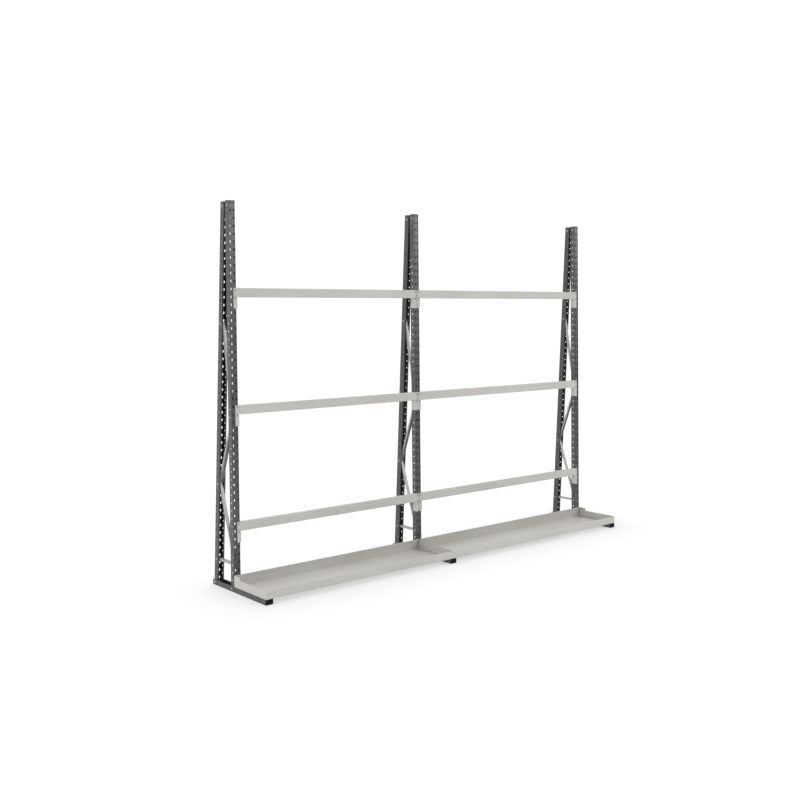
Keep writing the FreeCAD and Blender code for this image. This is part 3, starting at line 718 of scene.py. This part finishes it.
def add_hex_head(mesh, base, direction, height, dished):
    """A flange with a hexagon on it, whose corners are chamfered at the top."""
    flange = [
        (0.0, FLANGE_RADIUS),
        (FLANGE_HEIGHT - FLANGE_CHAMFER, FLANGE_RADIUS),
        (FLANGE_HEIGHT, FLANGE_RADIUS - FLANGE_CHAMFER),
        (FLANGE_HEIGHT, SHANK_RADIUS),
    ]
    add_lathe(mesh, flange, base, direction)
    rim_depth = DISH_RIM_DEPTH if dished else 0.0
    centre_depth = DISH_DEPTH if dished else 0.0
    hexagon = [
        (HEX_START, HEX_FLATS/2),
        (height, HEX_FLATS/2),
        (height, HEX_FLATS*HEX_TOP_FACE),
        (height - rim_depth, HEX_FLATS*HEX_DISH_RIM),
        (height - centre_depth, HEX_FLATS*HEX_DISH_CENTRE),
    ]
    chamfer_from = HEX_FLATS*HEX_CHAMFER_FROM

    def six_sided(angle, along, radius):
        """Push a ring out to a hexagon, lower towards the corners if it is the top one."""
        if radius < chamfer_from:
            return along, radius
        sector = math.radians(60)
        offset = (angle % sector) - sector/2
        reach = HEX_FLATS/2/math.cos(offset)
        drop = (reach - chamfer_from)*HEX_CHAMFER_SLOPE if along == height else 0.0
        return along - drop, reach

    add_lathe(mesh, hexagon, base, direction, reshape=six_sided)


def make_foot_bolts(name, material):
    """A flanged bolt and nut through the foot for each upright."""
    node = f"{name}_foot_bolts"
    height = FLANGE_HEIGHT + HEX_HEIGHT
    mesh = bmesh.new()
    for low, high in solids_of(node):
        if high.x - low.x < LONGEST_NUT:
            continue
        y = (low.y + high.y)/2
        z = (low.z + high.z)/2
        head = Vector((low.x + height, y, z))
        nut = Vector((high.x - height, y, z))
        add_hex_head(mesh, head, -1, height, dished=True)
        add_hex_head(mesh, nut, 1, height, dished=False)
        length = nut.x - head.x + height
        shank = [
            (0.0, SHANK_RADIUS),
            (length - SHANK_CHAMFER, SHANK_RADIUS),
            (length - SHANK_RECESS, SHANK_RADIUS - SHANK_CHAMFER),
        ]
        add_lathe(mesh, shank, head, 1, steps=SHANK_STEPS)
    bolts = new_piece(f"{name}_flange_bolts", mesh, material)
    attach(bolts, "frames")
    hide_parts(node)


def make_rivets(name, material):
    """Low domed rivets through the uprights' side walls."""
    node = f"{name}_brace_rivets"
    head = RIVET_HEAD_HEIGHT
    mesh = bmesh.new()
    for low, high in solids_of(node):
        y = (low.y + high.y)/2
        z = (low.z + high.z)/2
        radius = (high.z - low.z)/2
        length = high.x - low.x
        dome = []
        for angle in quarter_turn(RIVET_HEAD_STEPS):
            reach = max(radius*math.sin(angle), RIVET_HEAD_FLAT)
            dome.append((head*(1 - math.cos(angle)), reach))
        dome.append((head, SHANK_RADIUS))
        profile = dome + [(length - along, reach) for along, reach in reversed(dome)]
        add_lathe(mesh, profile, Vector((low.x, y, z)), 1)
    rivets = new_piece(f"{name}_domed_rivets", mesh, material)
    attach(rivets, "frames")
    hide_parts(node)


# ---------------------------------------------------------------- weld beads

def add_bead(mesh, start, end, rng):
    """A rippled weld bead between two points, thinner at its ends."""
    run = end - start
    count = max(BEAD_FEWEST_RINGS, int(run.length/(BEAD_RIPPLE/BEAD_RINGS_PER_RIPPLE)))
    heading = run.normalized()
    across = heading.orthogonal().normalized()
    other = heading.cross(across)
    rings = []
    for index in range(count + 1):
        share = index/count
        swell = abs(math.sin(math.pi*share*run.length/BEAD_RIPPLE))
        ripple = 1 - BEAD_DIP + BEAD_DIP*swell
        wander = 1 + rng.uniform(-BEAD_WANDER, BEAD_WANDER)
        taper = min(1.0, BEAD_END_SIZE + BEAD_TAPER*min(share, 1 - share))
        size = BEAD_RADIUS*ripple*wander*taper
        centre = start + run*share
        ring = []
        for side in range(BEAD_SIDES):
            angle = 2*math.pi*side/BEAD_SIDES
            offset = across*size*math.cos(angle) + other*size*math.sin(angle)
            ring.append(mesh.verts.new(centre + offset))
        rings.append(ring)
    skin(mesh, rings)


def make_welds(bay, level, lean, material, rng):
    """Beads round both ends of a beam, against its connectors' side plates."""
    node = f"{bay}_{level}_beam"
    upright = Matrix.Rotation(lean, 4, "X")
    points = [upright @ vertex.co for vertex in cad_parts[node].data.vertices]
    low, high = box_of(points)
    back = upright.inverted()
    near, far = low.y + BEAD_CORNER, high.y - BEAD_CORNER
    foot, head = low.z + BEAD_CORNER, high.z - BEAD_CORNER
    mesh = bmesh.new()
    for x in (low.x + BEAD_SETBACK, high.x - BEAD_SETBACK):
        runs = [
            ((x, near, high.z), (x, far, high.z)),
            ((x, near, low.z), (x, far, low.z)),
            ((x, high.y, foot), (x, high.y, head)),
        ]
        for start, end in runs:
            add_bead(mesh, back @ Vector(start), back @ Vector(end), rng)
    welds = new_piece(f"{bay}_{level}_beam_welds", mesh, material, smooth_angle=60)
    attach(welds, f"{bay}_{level}_beam_set")


# ------------------------------------------------------------------ dressing

def dress(node, material, edge_width=0.0):
    """Give a CAD node its finished material and, if asked, rounded edges."""
    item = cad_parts[node]
    item.data.materials.clear()
    item.data.materials.append(material)
    if edge_width:
        round_edges(item, edge_width)


def build_rack():
    paint = shelf_paint()
    zinc = zinc_sheet()
    plating = zinc_plating()
    plastic = moulded_plastic()
    front_lean = lean_of("left_front_upright")
    rear_lean = lean_of("left_rear_upright")
    front_coat = upright_paint("upright_steel_front", front_lean)
    rear_coat = upright_paint("upright_steel_rear", rear_lean)
    foot_coat = upright_paint("upright_steel_foot", 0.0)
    for name in FRAMES:
        dress(f"{name}_front_upright", front_coat)
        dress(f"{name}_rear_upright", rear_coat)
        dress(f"{name}_foot", foot_coat, SHEET_EDGE)
        dress(f"{name}_top_link", foot_coat, SHEET_EDGE)
        dress(f"{name}_brace_sleeves", plating)
        for brace in BRACES:
            dress(f"{name}_{brace}_brace", zinc, SHEET_EDGE)
        make_cap(name, plastic)
        make_foot_bolts(name, plating)
        make_rivets(name, plating)
    rng = random.Random(7)
    for bay in BAYS:
        make_tray(bay, paint)
        for level in LEVELS:
            dress(f"{bay}_{level}_beam", paint)
            for end in ENDS:
                dress(f"{bay}_{level}_beam_{end}_connector", paint, SHEET_EDGE)
            make_welds(bay, level, front_lean, paint, rng)


# --------------------------------------------------------------------- stage

def make_floor():
    """A pale floor that glows, less so close to the rack: a painted soft contact shadow. Its
    glow also grows towards the rim, a painted brightening.
    """
    cool_grey = (0.38, 0.38, 0.385)
    light_grey = (0.40, 0.40, 0.405)
    surface = Surface("floor", Metallic=0.0, IOR=1.2)
    tone = surface.mottle(1.5, 0.3, 0.7, detail=2.0)
    surface.put("Base Color", surface.blend(tone, cool_grey, light_grey))
    surface.put("Roughness", surface.mottle(0.3, 0.3, 0.7, 0.85, 0.95))
    # The footprint of the trays and feet is the front half of the rack's box.
    half = Vector((CAD_HIGH.x, -CAD_LOW.y/2, 0))
    from_trays = surface.vector("SUBTRACT", surface.place, (0, -half.y, 0))
    outside = surface.vector("SUBTRACT", surface.vector("ABSOLUTE", from_trays), half)
    beyond = surface.vector("MAXIMUM", outside, (0, 0, 0))
    distance = surface.vector("LENGTH", beyond, output="Value")
    # Painted contact shadow: the glow is lowest at the footprint and rises over the shadow's
    # reach.
    glow_with_painted_shadow = surface.remap(distance, 0.0, PAINTED_SHADOW_REACH, GLOW_IN_PAINTED_SHADOW, GLOW_PAST_PAINTED_SHADOW)
    # Painted brightening: more glow towards the floor's rim.
    painted_rim_glow = surface.remap(distance, PAINTED_SHADOW_REACH, FLOOR_RADIUS, 0.0, PAINTED_GLOW_ADDED_AT_RIM)
    surface.put("Emission Color", (1.0, 1.0, 1.0))
    surface.put("Emission Strength", surface.combine("ADD", glow_with_painted_shadow, painted_rim_glow))
    mesh = bmesh.new()
    bmesh.ops.create_circle(mesh, cap_ends=True, segments=FLOOR_SIDES, radius=FLOOR_RADIUS)
    floor = new_piece("floor", mesh, surface.material)
    floor.location.z = CAD_LOW.z


def make_backdrop():
    """A white backdrop for the camera, in a studio that is darker in front of the rack."""
    world = bpy.data.worlds.new("studio")
    world.use_nodes = True
    tree = world.node_tree
    tree.nodes.clear()
    direction = tree.nodes.new("ShaderNodeTexCoord").outputs["Generated"]
    parts = tree.nodes.new("ShaderNodeSeparateXYZ")
    tree.links.new(direction, parts.inputs["Vector"])
    depth = tree.nodes.new("ShaderNodeMapRange")
    depth.inputs["From Min"].default_value = DARKEST_DIRECTION
    depth.inputs["From Max"].default_value = BRIGHTEST_DIRECTION
    depth.inputs["To Min"].default_value = ROOM_DARKEST
    depth.inputs["To Max"].default_value = ROOM_BRIGHTEST
    tree.links.new(parts.outputs["Y"], depth.inputs["Value"])
    room = tree.nodes.new("ShaderNodeBackground")
    tree.links.new(depth.outputs["Result"], room.inputs["Strength"])
    backdrop = tree.nodes.new("ShaderNodeBackground")
    backdrop.inputs["Strength"].default_value = BACKDROP_STRENGTH
    for background in (room, backdrop):
        background.inputs["Color"].default_value = (1, 1, 1, 1)
    seen = tree.nodes.new("ShaderNodeLightPath").outputs["Is Camera Ray"]
    mix = tree.nodes.new("ShaderNodeMixShader")
    tree.links.new(seen, mix.inputs["Fac"])
    tree.links.new(room.outputs["Background"], mix.inputs[1])
    tree.links.new(backdrop.outputs["Background"], mix.inputs[2])
    output = tree.nodes.new("ShaderNodeOutputWorld")
    tree.links.new(mix.outputs["Shader"], output.inputs["Surface"])
    bpy.context.scene.world = world


def make_softbox(name, place, target, size, power):
    """A rectangular light of size metres and power watts, aimed from place at target."""
    light = bpy.data.lights.new(name, "AREA")
    light.shape = "RECTANGLE"
    light.size, light.size_y = size
    light.energy = power
    item = bpy.data.objects.new(name, light)
    item.location = place
    aim = target - Vector(place)
    item.rotation_euler = aim.to_track_quat("-Z", "Y").to_euler()
    bpy.context.scene.collection.objects.link(item)


def make_camera():
    """Eye height, in front and to the left of the rack, turned 40 degrees to it."""
    data = bpy.data.cameras.new("camera")
    data.sensor_width = SENSOR_WIDTH
    data.lens = FOCAL_LENGTH
    data.shift_y = LENS_SHIFT
    camera = bpy.data.objects.new("camera", data)
    camera.location = CAMERA_EYE
    camera.rotation_euler = (math.radians(90) - CAMERA_DIP, 0, -CAMERA_HEADING)
    bpy.context.scene.collection.objects.link(camera)
    bpy.context.scene.camera = camera


def build_stage():
    make_floor()
    make_backdrop()
    centre = (CAD_LOW + CAD_HIGH)/2
    upper = Vector((0.0, 0.0, 2.2))
    make_softbox("left_box", (-6.0, -1.5, 3.5), centre, size=(4.0, 3.0), power=105)
    make_softbox("front_box", (6.5, -8.0, 5.2), upper, size=(10.0, 4.5), power=600)
    make_softbox("overhead", (0.0, 0.5, 6.0), centre, size=(6.0, 3.0), power=50)
    bpy.context.scene.view_settings.view_transform = "Standard"
    make_camera()


build_rack()
build_stage()
